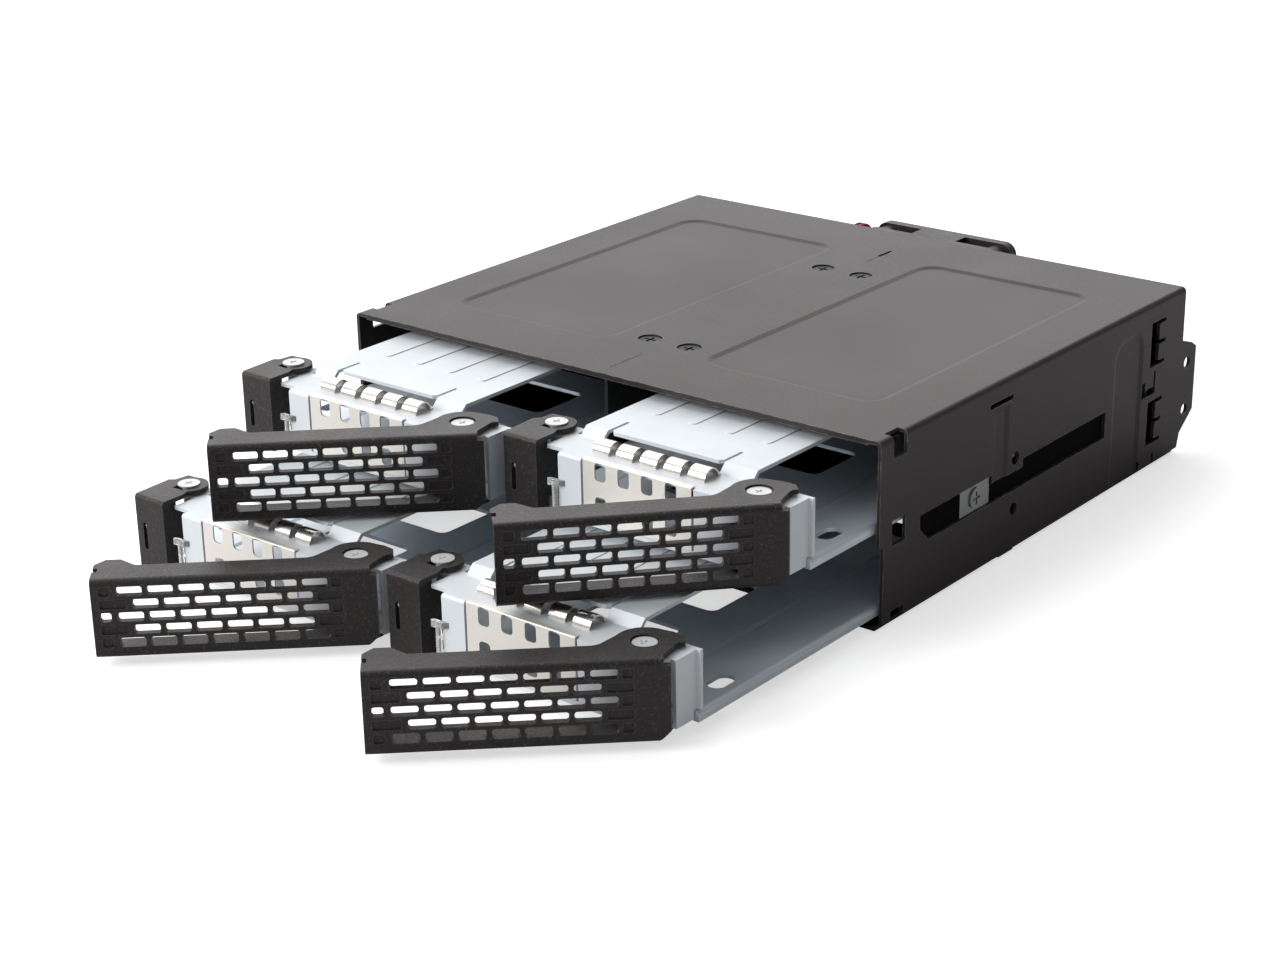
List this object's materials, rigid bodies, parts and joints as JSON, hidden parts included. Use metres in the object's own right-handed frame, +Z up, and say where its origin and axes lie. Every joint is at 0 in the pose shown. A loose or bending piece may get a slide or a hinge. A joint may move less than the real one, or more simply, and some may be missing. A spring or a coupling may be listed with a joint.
{
  "type": "hot swap drive cage",
  "caption": "Steel cage that fills one wide drive bay and takes small drives on sliding trays with hinged grille levers, release buttons and a rear fan.",
  "frame": {"origin": "middle of the casing's front edge on the underside of the floor", "axes": "+X to the right seen from the front, +Y from the front to the rear fan, +Z up"},
  "size_m": [0.146, 0.2481, 0.0413],
  "materials": {
    "coat_grey": "warm grey powder coat, fine texture",
    "zinc": "zinc plated sheet",
    "dark_sheet": "dark coated sheet inside the casing",
    "screw_black": "black oxide",
    "clip_steel": "bright plated strip",
    "pale_sheet": "light grey matte sheet",
    "spring_sheet": "beige contact spring sheet",
    "black_plastic": "black, finely textured",
    "black_cast": "black, finely textured",
    "screw_steel": "bright plated steel",
    "clear_pipe": "frosted clear light guide",
    "board_green": "green solder mask on glass fibre",
    "connector_black": "black moulded connector",
    "lead_red": "red insulation",
    "lead_black": "black insulation"
  },
  "bodies": {
    "casing": {"cover": "coat_grey", "floor_pan": "dark_sheet", "divider": "dark_sheet", "rail_left": "dark_sheet", "rail_right": "dark_sheet", "cover_screws": "screw_black", "slot_clips": "clip_steel", "clip_screws": "screw_steel", "rear_panel": "coat_grey", "backplane": "board_green", "drive_plugs": "connector_black", "data_ports": "connector_black", "power_ports": "connector_black", "board_parts": "connector_black", "fan_frame": "black_plastic", "fan_screws": "screw_steel", "fan_lead_red": "lead_red", "fan_lead_black": "lead_black"},
    "fan": {"fan_rotor": "black_plastic"},
    "tray_upper_right": {"pan_upper_right": "zinc", "frame_upper_right": "pale_sheet", "spring_panel_upper_right": "spring_sheet", "fingers_upper_right": "spring_sheet", "light_pipe_upper_right": "clear_pipe", "screws_upper_right": "screw_steel"},
    "lever_upper_right": {"lever_upper_right": "black_cast"},
    "button_upper_right": {"button_upper_right": "black_plastic"},
    "tray_upper_left": {"pan_upper_left": "zinc", "frame_upper_left": "pale_sheet", "spring_panel_upper_left": "spring_sheet", "fingers_upper_left": "spring_sheet", "light_pipe_upper_left": "clear_pipe", "screws_upper_left": "screw_steel"},
    "lever_upper_left": {"lever_upper_left": "black_cast"},
    "button_upper_left": {"button_upper_left": "black_plastic"},
    "tray_lower_right": {"pan_lower_right": "zinc", "frame_lower_right": "pale_sheet", "spring_panel_lower_right": "spring_sheet", "fingers_lower_right": "spring_sheet", "light_pipe_lower_right": "clear_pipe", "screws_lower_right": "screw_steel"},
    "lever_lower_right": {"lever_lower_right": "black_cast"},
    "button_lower_right": {"button_lower_right": "black_plastic"},
    "tray_lower_left": {"pan_lower_left": "zinc", "frame_lower_left": "pale_sheet", "spring_panel_lower_left": "spring_sheet", "fingers_lower_left": "spring_sheet", "light_pipe_lower_left": "clear_pipe", "screws_lower_left": "screw_steel"},
    "lever_lower_left": {"lever_lower_left": "black_cast"},
    "button_lower_left": {"button_lower_left": "black_plastic"}
  },
  "joints": [
    {"name": "fan_spin", "type": "hinge", "parent": "casing", "child": "fan", "pos_m": [0.001, 0.1335, 0.0209], "axis": [0, 1, 0], "continuous": true},
    {"name": "upper_right_tray_slide", "type": "slide", "parent": "casing", "child": "tray_upper_right", "axis": [0, 1, 0], "range_m": [-0.0771, 0.0355]},
    {"name": "upper_right_lever_hinge", "type": "hinge", "parent": "tray_upper_right", "child": "lever_upper_right", "pos_m": [0.0627, -0.0269, 0.0291], "axis": [0, 0, -1], "range_deg": [-0.3, 47.2]},
    {"name": "upper_right_button_press", "type": "slide", "parent": "tray_upper_right", "child": "button_upper_right", "axis": [0, 1, 0], "range_m": [0, 0.0018], "stiffness_N_per_m": 400, "springref_m": -0.001},
    {"name": "upper_left_tray_slide", "type": "slide", "parent": "casing", "child": "tray_upper_left", "axis": [0, 1, 0], "range_m": [-0.0715, 0.0411]},
    {"name": "upper_left_lever_hinge", "type": "hinge", "parent": "tray_upper_left", "child": "lever_upper_left", "pos_m": [-0.0099, -0.0325, 0.0291], "axis": [0, 0, -1], "range_deg": [-3.9, 43.6]},
    {"name": "upper_left_button_press", "type": "slide", "parent": "tray_upper_left", "child": "button_upper_left", "axis": [0, 1, 0], "range_m": [0, 0.0018], "stiffness_N_per_m": 400, "springref_m": -0.001},
    {"name": "lower_right_tray_slide", "type": "slide", "parent": "casing", "child": "tray_lower_right", "axis": [0, 1, 0], "range_m": [-0.0412, 0.0714]},
    {"name": "lower_right_lever_hinge", "type": "hinge", "parent": "tray_lower_right", "child": "lever_lower_right", "pos_m": [0.0627, -0.0628, 0.0105], "axis": [0, 0, -1], "range_deg": [-4.7, 42.8]},
    {"name": "lower_right_button_press", "type": "slide", "parent": "tray_lower_right", "child": "button_lower_right", "axis": [0, 1, 0], "range_m": [0, 0.0018], "stiffness_N_per_m": 400, "springref_m": -0.001},
    {"name": "lower_left_tray_slide", "type": "slide", "parent": "casing", "child": "tray_lower_left", "axis": [0, 1, 0], "range_m": [-0.0386, 0.074]},
    {"name": "lower_left_lever_hinge", "type": "hinge", "parent": "tray_lower_left", "child": "lever_lower_left", "pos_m": [-0.0099, -0.0654, 0.0105], "axis": [0, 0, -1], "range_deg": [-4.6, 42.9]},
    {"name": "lower_left_button_press", "type": "slide", "parent": "tray_lower_left", "child": "button_lower_left", "axis": [0, 1, 0], "range_m": [0, 0.0018], "stiffness_N_per_m": 400, "springref_m": -0.001}
  ]
}
